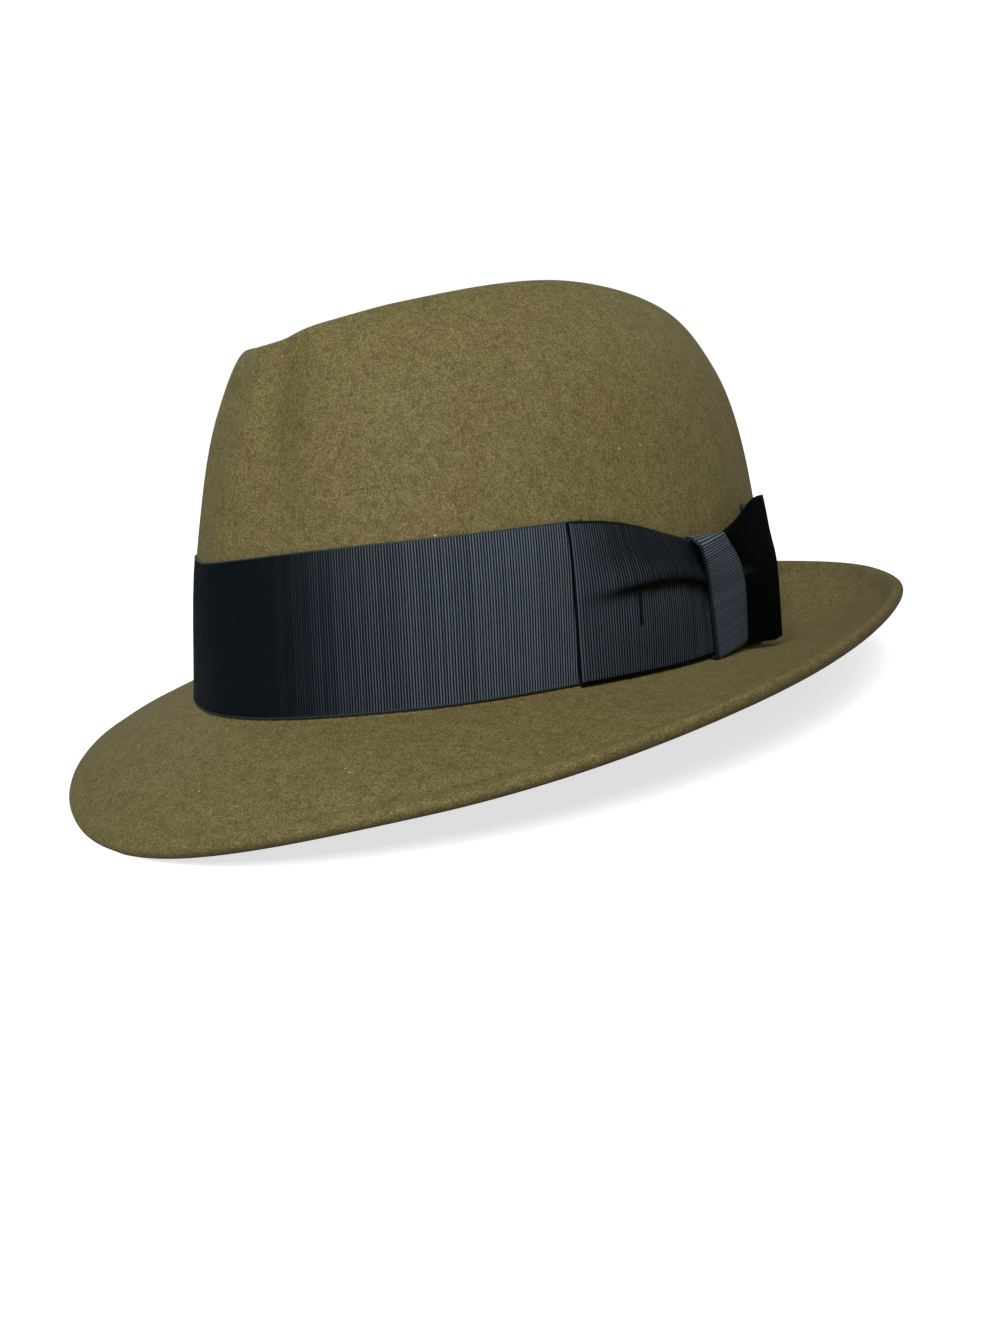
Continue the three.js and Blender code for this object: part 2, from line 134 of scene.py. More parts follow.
def foot(angle):
    """Places along the crown's foot, with the outward direction in plan"""
    a = np.radians(angle)
    x = head_width / 2 * np.sin(a) * (1 + front_fullness * np.cos(a))
    y = -head_length / 2 * np.cos(a)
    along = [head_width / 2 * (np.cos(a) + front_fullness * np.cos(2 * a)), head_length / 2 * np.sin(a)]
    outward = np.stack([along[1], -along[0]], -1)
    outward /= np.linalg.norm(outward, axis=-1, keepdims=True)
    z = around_head(foot_table, "rise", angle) * foot_rise
    return np.stack([x, y, z], -1), outward


def crown_sections(angle):
    """The seven points of each section, from the foot over the ridge and past the crease"""
    base, _ = foot(angle)
    back = (1 - np.cos(np.radians(angle))) / 2
    end_y = (crease_to_front - head_length / 2) * (1 - back) + (head_length / 2 - crease_to_back) * back
    end_z = crown_height * (crown_table[0]["ridge"] * (1 - back) + crown_table[-1]["ridge"] * back)
    end_z = end_z - crease_depth
    inward = np.stack([-base[:, 0], end_y - base[:, 1]], -1)
    reach = np.linalg.norm(inward, axis=-1)
    inward /= reach[:, None]
    away = np.minimum(np.abs(from_front(angle) - pinch_angle) / pinch_half_span, 1)
    pinch = np.cos(away * math.pi / 2) ** 2

    def value(key):
        return around_head(crown_table, key, angle)

    side = np.where(np.asarray(angle) % 360 <= 180, 1, -1)
    ridge = (value("ridge") + side * value("left")) * crown_height
    low_z, high_z = (base[:, 2] + (ridge - base[:, 2]) * share for share in (low_wall, high_wall))
    low_in = value("low_in") * head_width / 2 + pinch * pinch_depth * pinch_at_low_wall
    high_in = value("high_in") * head_width / 2 + pinch * pinch_depth
    ridge_in = value("ridge_in") * head_width / 2 + pinch * pinch_depth * pinch_at_ridge
    slope_in = ridge_in + (reach - ridge_in) * crease_side_in
    slope_z = ridge + (end_z - ridge) * crease_side_down
    into = np.array([0 * reach, low_in, high_in, ridge_in, slope_in, reach, 2 * reach - slope_in])
    z = np.array([base[:, 2], low_z, high_z, ridge, slope_z, end_z, slope_z])
    x = base[:, 0] + inward[:, 0] * into
    y = base[:, 1] + inward[:, 1] * into
    return np.stack([x, y, z], -1)


def crown_points(sections, station, shortest=1e-4):
    """Points on the smooth curves through the sections, at one station of each or at one for all"""
    count = len(sections)
    station = np.broadcast_to(np.asarray(station, float), sections.shape[1:2])
    i = np.clip(station.astype(int), 0, count - 2)
    t = (station - i)[:, None]
    column = np.arange(sections.shape[1])
    b, c = sections[i, column], sections[i + 1, column]
    a = np.where((i > 0)[:, None], sections[np.maximum(i - 1, 0), column], 2 * b - c)
    d = np.where((i < count - 2)[:, None], sections[np.minimum(i + 2, count - 1), column], 2 * c - b)
    steps = []
    for near, far in ((a, b), (b, c), (c, d)):
        steps.append(np.maximum(np.linalg.norm(far - near, axis=1), shortest)[:, None] ** 0.5)
    start = ((b - a) / steps[0] - (c - a) / (steps[0] + steps[1]) + (c - b) / steps[1]) * steps[1]
    stop = ((c - b) / steps[1] - (d - b) / (steps[1] + steps[2]) + (d - c) / steps[2]) * steps[1]
    return (
        (2 * t**3 - 3 * t**2 + 1) * b
        + (t**3 - 2 * t**2 + t) * start
        + (3 * t**2 - 2 * t**3) * c
        + (t**3 - t**2) * stop
    )


def brim_paths(angle, fine=160):
    """Widths, outward distances and heights along each section of the brim, finely divided"""
    left = np.sin(np.radians(angle))
    width = around_head(brim_table, "width", angle) * brim_width
    start = around_head(brim_table, "start", angle) + left * brim_left_start
    end = around_head(brim_table, "end", angle) + left * brim_left_end
    share = (np.arange(fine) + 0.5) / fine
    slope = np.radians(start[:, None] + (end - start)[:, None] * share)
    step = (width / fine)[:, None]
    none = np.zeros((len(width), 1))
    out = np.concatenate([none, np.cumsum(np.cos(slope) * step, axis=1)], axis=1)
    up = np.concatenate([none, np.cumsum(np.sin(slope) * step, axis=1)], axis=1)
    return width, out, up


def resting(points):
    """Points of the upright hat in millimetres, put where the hat rests, in metres"""
    s, c = math.sin(rest_tilt), math.cos(rest_tilt)
    x, y, z = np.moveaxis(points, -1, 0)
    placed = [x + rest_place[0], y * c - z * s + rest_place[1], y * s + z * c + rest_place[2]]
    return np.stack(placed, -1) / 1000


def normals_of(points, triangles):
    """Smooth normals at the points of a mesh"""
    corners = points[triangles]
    normal = np.cross(corners[:, 1] - corners[:, 0], corners[:, 2] - corners[:, 0])
    total = np.zeros_like(points)
    for corner in range(3):
        np.add.at(total, triangles[:, corner], normal)
    return total / np.maximum(np.linalg.norm(total, axis=1, keepdims=True), 1e-12)


def new_piece(name, points, faces, material, shares, about):
    """A smooth mesh with one share for each of its points, which its material reads"""
    mesh = bpy.data.meshes.new(name)
    mesh.from_pydata(points.tolist(), [], faces.tolist())
    mesh.polygons.foreach_set("use_smooth", [True] * len(mesh.polygons))
    mesh.materials.append(material)
    mesh.attributes.new(about, "FLOAT", "POINT").data.foreach_set("value", shares)
    piece = bpy.data.objects.new(name, mesh)
    bpy.context.scene.collection.objects.link(piece)
    return piece


class Nodes:
    """Shader nodes of one material or group, added and joined by short calls"""

    def __init__(self, tree):
        self.tree = tree

    def add(self, kind, inputs=None, **settings):
        node = self.tree.nodes.new("ShaderNode" + kind)
        for name, value in settings.items():
            setattr(node, name, value)
        for name, value in (inputs or {}).items():
            if isinstance(value, bpy.types.NodeSocket):
                self.tree.links.new(value, node.inputs[name])
            else:
                node.inputs[name].default_value = value
        return node

    def noise(self, place, scale, detail=3, roughness=0.6):
        inputs = {"Vector": place, "Scale": scale, "Detail": detail, "Roughness": roughness}
        return self.add("TexNoise", inputs).outputs[0]

    def ramp(self, value, low, high, to_low=0.0, to_high=1.0):
        """A value between low and high, spread from to_low to to_high and kept between them"""
        inputs = {0: value, 1: low, 2: high, 3: to_low, 4: to_high}
        return self.add("MapRange", inputs).outputs[0]

    def math(self, operation, first, second=0.0):
        return self.add("Math", {0: first, 1: second}, operation=operation).outputs[0]

    def mix(self, share, first, second):
        inputs = {"Factor": share, 6: first, 7: second}
        return self.add("Mix", inputs, data_type="RGBA").outputs[2]


def new_material(name):
    material = bpy.data.materials.new(name)
    material.use_nodes = True
    material.node_tree.nodes.clear()
    nodes = Nodes(material.node_tree)
    shader = nodes.add("BsdfPrincipled")
    nodes.add("OutputMaterial", {"Surface": shader.outputs[0]})
    return material, nodes, shader


# Olive felt: two hues in clouds, darker patches and mottle, and a fine nap with its light tips
# and its shade. The underside is painted darker as shade, and a few pale flecks lie on the surface.
warm_olive, green_olive = (0.134, 0.1, 0.038, 1), (0.117, 0.105, 0.036, 1)
patch_color, mottle_color = (0.084, 0.069, 0.02, 1), (0.06, 0.048, 0.013, 1)
nap_shade, nap_tip = (0.034, 0.027, 0.007, 1), (0.31, 0.265, 0.18, 1)
underside_shade_color, fleck_color = (0.03, 0.021, 0.008, 1), (0.3, 0.27, 0.18, 1)

felt, nodes, shader = new_material("olive_fur_felt")
on_felt = nodes.add("TexCoord").outputs["Object"]
clouds = nodes.noise(on_felt, 45)
patches = nodes.noise(on_felt, 170)
mottle = nodes.noise(on_felt, 520)
nap = nodes.noise(on_felt, 2000, roughness=0.7)
fleck = nodes.add("TexVoronoi", {"Vector": on_felt, "Scale": 420})
shade = nodes.mix(nodes.ramp(clouds, 0.35, 0.65), warm_olive, green_olive)
shade = nodes.mix(nodes.ramp(patches, 0.35, 0.65, 0.55, 0), shade, patch_color)
shade = nodes.mix(nodes.ramp(mottle, 0.35, 0.55, 0.6, 0), shade, mottle_color)
shade = nodes.mix(nodes.ramp(nap, 0.36, 0.52, 0.6, 0), shade, nap_shade)
shade = nodes.mix(nodes.ramp(nap, 0.52, 0.68, 0, 0.34), shade, nap_tip)
# Painted shade: the underside and the lower part of the brim's rounded edge are mixed towards a dark brown
painted_underside_shade = nodes.add("Attribute", attribute_name="painted_underside_shade").outputs["Fac"]
shade = nodes.mix(nodes.math("MULTIPLY", painted_underside_shade, 0.7), shade, underside_shade_color)
near = nodes.ramp(fleck.outputs["Distance"], 0.1, 0.16, 1, 0)
rare = nodes.ramp(nodes.add("SeparateColor", {0: fleck.outputs["Color"]}).outputs[0], 0.988, 0.992)
shade = nodes.mix(nodes.math("MULTIPLY", near, rare), shade, fleck_color)
height = nodes.math("ADD", nodes.math("MULTIPLY", mottle, 0.5), nodes.math("MULTIPLY", nap, 0.8))
bump = nodes.add("Bump", {"Strength": 0.5, "Distance": 0.0005, "Height": height})
nodes.tree.links.new(shade, shader.inputs["Base Color"])
nodes.tree.links.new(bump.outputs[0], shader.inputs["Normal"])
shader.inputs["Roughness"].default_value = 0.6
shader.inputs["Specular IOR Level"].default_value = 0.07
shader.inputs["Sheen Weight"].default_value = 0.05
shader.inputs["Sheen Roughness"].default_value = 0.5
shader.inputs["Sheen Tint"].default_value = (0.5, 0.42, 0.22, 1)

felt_columns = 360
angles = np.arange(felt_columns) * 360 / felt_columns
base, outward = foot(angles)
sections = crown_sections(angles)
width, out_path, up_path = brim_paths(angles)

# Rings over the welt: how far in from the brim's edge, how thick the felt is there, and how
# far its top lies below the brim's own line, above it where negative
welt_rings = [
    dict(inset=0.0, thick=3.6, dip=-0.1),
    dict(inset=0.7, thick=3.9, dip=-0.3),
    dict(inset=1.8, thick=4.0, dip=-0.4),
    dict(inset=3.2, thick=3.8, dip=-0.2),
    dict(inset=4.6, thick=3.4, dip=0.15),
    dict(inset=5.6, thick=3.1, dip=0.35),
    dict(inset=6.2, thick=2.9, dip=0.4),
    dict(inset=6.5, thick=1.75, dip=0.4),
    dict(inset=6.9, thick=1.8, dip=0.33),
    dict(inset=7.8, thick=2.0, dip=0.2),
    dict(inset=9.4, thick=2.0, dip=0.05),
]
flat_steps = 18
span_steps = (12, 16, 14, 12, 10)


def brim_ring(length, dip=0.0):
    """Ring of points on the brim, a length out from the crown in each column"""
    share = length / width * (out_path.shape[1] - 1)
    i = np.clip(share.astype(int), 0, out_path.shape[1] - 2)
    t = share - i
    column = np.arange(len(width))
    out = out_path[column, i] * (1 - t) + out_path[column, i + 1] * t
    up = up_path[column, i] * (1 - t) + up_path[column, i + 1] * t
    flat = base[:, :2] + outward * out[:, None]
    return np.concatenate([flat, (base[:, 2] + up - dip)[:, None]], axis=1)


# Rings of the top side, from the edge in: the welt, the brim, the bend at the crown's foot,
# and the crown up to the floor of its crease
rings, thickness = [], []
for row in welt_rings:
    rings.append(brim_ring(width - row["inset"], row["dip"]))
    thickness.append(row["thick"])
for step in range(flat_steps - 1, 0, -1):
    rings.append(brim_ring((width - welt_rings[-1]["inset"]) * step / flat_steps))
    thickness.append(felt_thickness)
on_brim = brim_ring(np.full(len(width), break_radius))
on_wall = crown_points(sections, bend_top)
for share in (0, 0.25, 0.5, 0.75, 1):
    rings.append((1 - share) ** 2 * on_brim + 2 * share * (1 - share) * base + share**2 * on_wall)
    thickness.append(felt_thickness)
for span, steps in enumerate(span_steps):
    for step in range(1, steps + 1):
        rings.append(crown_points(sections, span + step / steps))
        thickness.append(felt_thickness)

# Where two columns meet on the crease they share one point
crease = rings.pop()
thickness.pop()
half = felt_columns // 2
top = np.concatenate(rings + [crease[: half + 1]])
thick = np.concatenate([np.repeat(thickness, felt_columns), np.full(half + 1, felt_thickness)])
column = np.arange(felt_columns)
following = (column + 1) % felt_columns
crease_start = len(rings) * felt_columns
on_crease = crease_start + np.minimum(column, (felt_columns - column) % felt_columns)
grid = np.arange(len(rings) * felt_columns).reshape(len(rings), felt_columns)
grid = np.concatenate([grid, on_crease[None]])
a, b = grid[:-1], grid[:-1, following]
c, d = grid[1:, following], grid[1:]
quads = np.stack([a, b, c, d], -1).reshape(-1, 4)
triangles = np.concatenate([quads[:, [0, 1, 2]], quads[:, [0, 2, 3]]])
triangles = triangles[(triangles[:, 0] != triangles[:, 2]) & (triangles[:, 1] != triangles[:, 2])]
triangles = triangles[triangles[:, 0] != triangles[:, 1]]
upward = normals_of(top, triangles)
under = top - upward * thick[:, None]

# Rounded edge between the two sides
edge_steps, edge_fullness, edge_shade = 6, 0.85, 1.6
edge_middle = (top[:felt_columns] + under[:felt_columns]) / 2
edge_up = (top[:felt_columns] - under[:felt_columns]) / 2
away = top[:felt_columns] - top[felt_columns : 2 * felt_columns]
away -= edge_up * ((away * edge_up).sum(1) / (edge_up * edge_up).sum(1))[:, None]
away *= (np.linalg.norm(edge_up, axis=1) / np.linalg.norm(away, axis=1))[:, None]
edge_rings = []
for step in range(1, edge_steps):
    turn = math.pi * step / edge_steps
    edge_rings.append(edge_middle + edge_up * math.cos(turn) + away * edge_fullness * math.sin(turn))
points = np.concatenate([top, under] + edge_rings)
under_start, edge_start = len(top), 2 * len(top)
strip = [column]
strip += [edge_start + felt_columns * k + column for k in range(edge_steps - 1)]
strip += [under_start + column]
edge_faces = []
for upper, lower in zip(strip, strip[1:]):
    edge_faces.append(np.stack([upper, lower, lower[following], upper[following]], -1))
edge_quads = np.concatenate(edge_faces)
edge_triangles = np.concatenate([edge_quads[:, [0, 1, 2]], edge_quads[:, [0, 2, 3]]])
faces = np.concatenate([triangles, triangles[:, [0, 2, 1]] + under_start, edge_triangles])

# The felt is flat where it rests
points = resting(points)
points[:, 2] = np.maximum(points[:, 2], 0)
# Painted shade on the rounded edge: none on the top side, growing to full from the edge's middle to the
# underside
painted_edge_shade = []
for step in range(1, edge_steps):
    painted_edge_shade.append(np.full(felt_columns, min(1, edge_shade * step / edge_steps)))
painted_underside_shade = np.concatenate([np.zeros(len(top)), np.ones(len(top))] + painted_edge_shade)
felt_piece = new_piece("felt_hat_body", points, faces, felt, painted_underside_shade, "painted_underside_shade")
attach(felt_piece, "root")
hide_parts("felt_body")


# Hat band. A grosgrain ribbon 46 mm wide is drawn round the foot of the crown and tacked.
# Its ribs are thick weft cords about 0.8 mm apart, covered by a fine warp of black silk.
ribbon_width = 46
rib_pitch, rib_height, rib_middle = 0.79, 0.26, 0.6
rib_lean = math.tan(math.radians(1.3))
cord_unevenness, cord_roundness = 0.025, 0.8
per_rib = 4
band_lift, band_gap, band_thickness = 0.75, 0.62, 0.4
panel_length, band_under_panel, band_under_tail = 53, 4, 30
knot_angle = 101

# Table of the crown's wall: its points and outward directions, by angle and by length up it
wall_step, wall_top = 0.5, 62
wall_angles = np.arange(0, 360, wall_step)
wall_heights = np.arange(0, wall_top + 0.1, wall_step)
wall_sections = crown_sections(wall_angles)
wall_stations = np.arange(0, 2.0001, 0.02)
climb = np.stack([crown_points(wall_sections, station) for station in wall_stations], 1)
rises = np.cumsum(np.linalg.norm(np.diff(climb, axis=1), axis=2), axis=1)
lengths = np.concatenate([np.zeros((len(wall_angles), 1)), rises], axis=1)
wall = np.stack([
    np.stack([np.interp(wall_heights, lengths[k], climb[k, :, axis]) for axis in range(3)], -1)
    for k in range(len(wall_angles))
])
wall_up = np.gradient(wall, axis=1)
_, wall_out = foot(wall_angles)
level = np.stack([-wall_out[:, 1], wall_out[:, 0], 0 * wall_out[:, 0]], -1)
wall_away = np.cross(np.broadcast_to(level[:, None], wall_up.shape), wall_up)
wall_away /= np.linalg.norm(wall_away, axis=-1, keepdims=True)


def beside_wall(angle, height, out):
    """Points by the crown's wall: an angle, a height up the wall and a distance out from the felt"""
    u = (np.asarray(angle) % 360) / wall_step
    v = np.clip(np.asarray(height) / wall_step, 0, len(wall_heights) - 1.001)
    i, j = u.astype(int) % len(wall_angles), v.astype(int)
    s, t = (u - u.astype(int))[..., None], (v - j)[..., None]
    k = (i + 1) % len(wall_angles)

    def blend(table):
        near = table[i, j] * (1 - t) + table[i, j + 1] * t
        return near * (1 - s) + (table[k, j] * (1 - t) + table[k, j + 1] * t) * s

    return blend(wall) + blend(wall_away) * np.asarray(out)[..., None]


def lengths_along(points):
    """Length along a row of points, from the first to each of them"""
    return np.concatenate([[0], np.cumsum(np.linalg.norm(np.diff(points, axis=0), axis=1))])


# Lengths along the crown's foot to both sides of the knot
foot_reach = 150
foot_turns = np.arange(-foot_reach, foot_reach + 1) * 1.0 + knot_angle
foot_lengths = lengths_along(foot(foot_turns)[0][:, :2])
foot_lengths -= foot_lengths[foot_reach]


def bow_angle(back):
    """Angle of a place along the foot, by its length back from the middle of the knot"""
    return np.interp(back, foot_lengths, foot_turns)


def count_cords(length, pitch=rib_pitch):
    """Number of whole ribs in a length, and the place among them of each row of the mesh"""
    ribs = int(length / pitch)
    return ribs, np.arange(ribs * per_rib + 1) / per_rib


def uneven_cords(cord, random):
    """Round cords side by side, each a little different, as shares of the rib's height"""
    number = np.floor(cord).astype(int)
    uneven = 1 + cord_unevenness * random.standard_normal(number.max() + 1)
    return (uneven[number] * np.sin(math.pi * (cord - number)) ** cord_roundness)[:, None]


def ribbed_ribbon(name, middle, cords, thickness, material):
    """Closed ribbon around a grid of points along and across it, with its ribs on both faces"""
    profile = (cords - rib_middle) * rib_height
    along = np.gradient(middle, axis=0)
    across = np.gradient(middle, axis=1)
    normal = np.cross(along, across)
    normal /= np.maximum(np.linalg.norm(normal, axis=-1, keepdims=True), 1e-9)
    offset = (thickness / 2 + profile)[..., None] * normal
    rows, places = middle.shape[:2]
    front, back = middle + offset, middle - offset
    ring = np.concatenate([front, back[:, ::-1]], axis=1)
    count = ring.shape[1]
    grid = np.arange(rows * count).reshape(rows, count)
    turned = np.roll(grid, -1, axis=1)
    sides = np.stack([grid[:-1], grid[1:], turned[1:], turned[:-1]], -1).reshape(-1, 4)
    caps = []
    for row, flip in ((0, False), (rows - 1, True)):
        for near in range(places - 1):
            far = count - 1 - near
            face = grid[row, [near, near + 1, far - 1, far]]
            caps.append(face[::-1] if flip else face)
    faces = np.concatenate([sides, np.array(caps)])
    tops = np.concatenate([cords, cords[:, ::-1]], axis=1).ravel()
    return new_piece(name, resting(ring.reshape(-1, 3)), faces, material, tops, "cord")


# Weave of the ribbon: painted shade in the grooves and painted highlights on the cords, worn a little and
# broken up by the silk
groove, cord_top = 0.66, 0.92
ribbon_group = bpy.data.node_groups.new("ribbon_weave", "ShaderNodeTree")
for name in ("Dark", "Light"):
    ribbon_group.interface.new_socket(name, in_out="INPUT", socket_type="NodeSocketColor")
for name, kind in (("Color", "NodeSocketColor"), ("Normal", "NodeSocketVector")):
    ribbon_group.interface.new_socket(name, in_out="OUTPUT", socket_type=kind)
nodes = Nodes(ribbon_group)
given = ribbon_group.nodes.new("NodeGroupInput")
on_ribbon = nodes.add("TexCoord").outputs["Object"]
wear = nodes.noise(on_ribbon, 160, detail=4)
silk = nodes.noise(on_ribbon, 2600, detail=2)
cord_height = nodes.add("Attribute", attribute_name="cord").outputs["Fac"]
# Painted light: cord tops lighter as if lit, grooves darker as shade
cord_highlight_and_tone = nodes.ramp(cord_height, groove, cord_top)
cord_highlight_and_tone = nodes.math("MULTIPLY", cord_highlight_and_tone, nodes.ramp(wear, 0.3, 0.7, 0.92, 1.06))
cord_highlight_and_tone = nodes.math("MULTIPLY", cord_highlight_and_tone, nodes.ramp(silk, 0.3, 0.7, 0.8, 1.15))
color = nodes.mix(cord_highlight_and_tone, given.outputs["Dark"], given.outputs["Light"])
bump = nodes.add("Bump", {"Strength": 0.35, "Distance": 0.0002, "Height": silk})
result = ribbon_group.nodes.new("NodeGroupOutput")
ribbon_group.links.new(color, result.inputs["Color"])
ribbon_group.links.new(bump.outputs[0], result.inputs["Normal"])


def ribbon_material(name, dark, light, gloss):
    """Ribbon with painted shade in its grooves and painted highlights on its cords, and its gloss"""
    material, nodes, shader = new_material(name)
    weave = nodes.add("Group", node_tree=ribbon_group)
    weave.inputs["Dark"].default_value = dark
    weave.inputs["Light"].default_value = light
    nodes.tree.links.new(weave.outputs["Color"], shader.inputs["Base Color"])
    nodes.tree.links.new(weave.outputs["Normal"], shader.inputs["Normal"])
    shader.inputs["Roughness"].default_value = 0.5
    shader.inputs["Specular IOR Level"].default_value = gloss
    return material


# Painted light: the band is a lighter copy of the bow's ribbon, its cords painted brighter as if lit
band_ribbon = ribbon_material(
    "black_grosgrain_lit",
    dark=(0.0005, 0.0026, 0.0042, 1),
    light=(0.078, 0.096, 0.117, 1),
    gloss=0.08,
)

# In front the ribbon's top drops and the ribbon lies closer, and its cords are pressed lower and painted
# darker as shade
front_table = [
    dict(at=-180, drop=0, close=0, pressed_and_shaded=0),
    dict(at=-90, drop=0, close=0, pressed_and_shaded=0),
    dict(at=-40, drop=2.8, close=0.35, pressed_and_shaded=1),
    dict(at=-15, drop=2.6, close=0.35, pressed_and_shaded=1),
    dict(at=15, drop=0.4, close=0.1, pressed_and_shaded=0.7),
    dict(at=45, drop=0, close=0, pressed_and_shaded=0.12),
    dict(at=75, drop=0, close=0, pressed_and_shaded=0),
    dict(at=180, drop=0, close=0, pressed_and_shaded=0),
]

# Slight waves in which the ribbon stands off the felt, more at its top than at its foot
wave_table = [
    dict(height=0.09, count=7, start=0.6),
    dict(height=0.06, count=17, start=2),
]
wave_at_foot = 0.3
selvedge_width, selvedge_height = 0.0085, 0.73
press_and_shade = 0.5

# The ribbon's ends lie under the front loop and under the rear loop. Across it the rows of
# the mesh are closest at its selvedges.
band_from = bow_angle(band_under_tail) - 360
band_to = bow_angle(-panel_length + band_under_panel)
fine_turns = np.linspace(band_from, band_to, 1200)
fine_length = lengths_along(foot(fine_turns)[0][:, :2])
_, cord = count_cords(fine_length[-1])
along = np.interp(cord * rib_pitch, fine_length, fine_turns)
across = np.array([0, 0.008, 0.015, 0.03, 0.12, 0.3, 0.5, 0.7, 0.88, 0.97, 0.985, 0.992, 1])
lean = (0.5 - across) * ribbon_width * rib_lean
turn_per_mm = (band_to - band_from) / fine_length[-1]
angle = along[:, None] + (lean * turn_per_mm)[None]
turned = (along + 180) % 360 - 180
drop, close, pressed_and_shaded = (table_value(front_table, key, turned)[:, None] for key in ("drop", "close", "pressed_and_shaded"))
heights = band_lift + across * (ribbon_width - drop)
wave = sum(row["height"] * np.sin(np.radians(along) * row["count"] + row["start"]) for row in wave_table)
lift = band_gap + band_thickness / 2 + wave[:, None] * (wave_at_foot + across) - close
middle = beside_wall(angle, heights, lift)
random = np.random.default_rng(11)
selvedge = np.where(np.minimum(across, 1 - across) < selvedge_width, selvedge_height, 0)
# Painted shade: towards the front the cords are made lower and darker
cords = uneven_cords(cord, random) * (1 - press_and_shade * pressed_and_shaded) * (selvedge == 0)
cords = np.maximum(cords, selvedge)
band = ribbed_ribbon("ribbon_band", middle, cords, band_thickness, band_ribbon)
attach(band, "root")
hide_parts("hat_band")


# Front loop of the bow. The ribbon runs forward from the knot, folds back under itself and
# returns, pressed flat, and one deep pleat gathers it to the knot's height.
# Painted shade: the loop is a darker copy of the same ribbon, as if it lay in shade
loop_ribbon = ribbon_material(
    "loop_grosgrain_shaded",
    dark=(0.0008, 0.0019, 0.003, 1),
    light=(0.043, 0.054, 0.066, 1),
    gloss=0.09,
)
panel_thickness, panel_base, ply_thickness = 1.6, 1.35, 0.62
panel_puff, inner_puff = 1.3, 0.6
fold_lean, knot_slant = 3, 9
pleat_half_width, pleat_lip, pleat_sharpness = 0.055, 3.2, 1.4
pleat_step, inner_pleat = 3.0, 0.35
pleat_margin, pleat_fall = 0.02, 0.8

# From the fold to the knot: foot and top of the loop and place of the pleat, as shares of the
# ribbon's width, and how full the loop and the pleat are
panel_table = [
    dict(at=0, foot=0, top=0.995, pleat_at=0.52, puff=0, pleat=0),
    dict(at=0.2, foot=0, top=0.978, pleat_at=0.55, puff=0.5, pleat=0.3),
    dict(at=0.42, foot=0, top=0.932, pleat_at=0.61, puff=1, pleat=0.95),
    dict(at=0.64, foot=0, top=0.86, pleat_at=0.66, puff=0.9, pleat=1.2),
    dict(at=0.83, foot=0.01, top=0.8, pleat_at=0.63, puff=0.2, pleat=0.8),
    dict(at=0.91, foot=0.015, top=0.785, pleat_at=0.6, puff=0.05, pleat=0.25),
    dict(at=1, foot=0.02, top=0.775, pleat_at=0.58, puff=0, pleat=0),
]

# Slant of the bow back at its foot and forward at its top, as shares of knot_slant
lean_table = [
    dict(at=0, slant=1),
    dict(at=0.25, slant=0.75),
    dict(at=0.6, slant=0.3),
    dict(at=0.8, slant=-0.35),
    dict(at=1, slant=-0.6),
]


def panel_place(at, across, is_outer):
    """The loop's outer or inner ply, by its place from the fold to the knot and across the ribbon"""

    def value(key):
        return table_value(panel_table, key, at)

    share = value("foot") + (value("top") - value("foot")) * across
    from_pleat = (across - value("pleat_at")) / pleat_half_width
    pleat = value("pleat") * (1.0 if is_outer else inner_pleat)
    over = -from_pleat * np.exp(-(from_pleat**2)) * pleat_lip * pleat
    step = 0.5 + 0.5 * np.tanh(from_pleat * pleat_sharpness)
    fall = np.clip((1 - across) / (1 - value("pleat_at") + pleat_margin), 0, 1) ** pleat_fall
    puff = panel_puff * value("puff") * np.sin(math.pi * across)
    out = puff * (1 if is_outer else inner_puff) + pleat_step * pleat * step * fall
    height = share * ribbon_width + over
    slant = table_value(lean_table, "slant", share) * knot_slant * at
    back = -panel_length * (1 - at) + slant - fold_lean * share * (1 - at)
    return bow_angle(back), band_lift + height, out


def hump(at, middle, half_width):
    """Smooth hump of height 1"""
    return np.exp(-(((at - middle) / half_width) ** 2))


def lower_at_edges(across, edge, lowest=0.2):
    """Shares of the ribs' height across a ribbon, less within an edge on each side"""
    return np.clip(np.minimum(across, 1 - across) / edge, lowest, 1)


ribs, cord = count_cords(panel_length)
at, across = np.meshgrid(1 - cord * rib_pitch / panel_length, np.linspace(0, 1, 45), indexing="ij")
angle, height, rise = panel_place(at, across, True)
outer = beside_wall(angle, height, panel_base + panel_thickness - ply_thickness / 2 + rise)
angle, height, rise = panel_place(at[::-1], across[::-1], False)
inner = beside_wall(angle, height, panel_base + ply_thickness / 2 + rise)
middle = np.concatenate([outer, inner])

# Painted shade and light on the outer ply, which also lower or raise its ribs: painted shade in
# the pleat's hollow, where the ribbon is gathered under the knot, at a short slit between two
# cords and above the pleat, and a painted highlight at the fold
slit_at, slit_half_width, slit_from, slit_to = 0.345, 0.0075, 0.26, 0.02
pleat_line = table_value(panel_table, "pleat_at", at)
pleat_depth = np.clip(table_value(panel_table, "pleat", at), 0, 1)
below_pleat = pleat_line - across
slit = (np.abs(at - slit_at) < slit_half_width) * (below_pleat > slit_to) * (below_pleat < slit_from)
shade_table = [
    dict(where=pleat_depth * hump(across, pleat_line - 0.012, 0.05), change=-0.75),
    dict(where=hump(at, 0.98, 0.16) * np.clip((across - 0.35) / 0.4, 0, 1), change=-0.55),
    dict(where=slit, change=-0.5),
    dict(where=at < 0.02, change=0.2),
    dict(where=np.clip((across - 0.55) / 0.25, 0, 1) * np.clip(at / 0.3, 0, 1), change=-0.2),
]
shaded = np.ones_like(at)
for row in shade_table:
    shaded *= 1 + row["change"] * row["where"]
cords = uneven_cords(np.concatenate([cord, cord + ribs + 1]), random)
cords = cords * lower_at_edges(across[0], 0.02) * np.concatenate([shaded, np.ones_like(shaded)])
panel = ribbed_ribbon("bow_front_loop", middle, cords, ply_thickness, loop_ribbon)
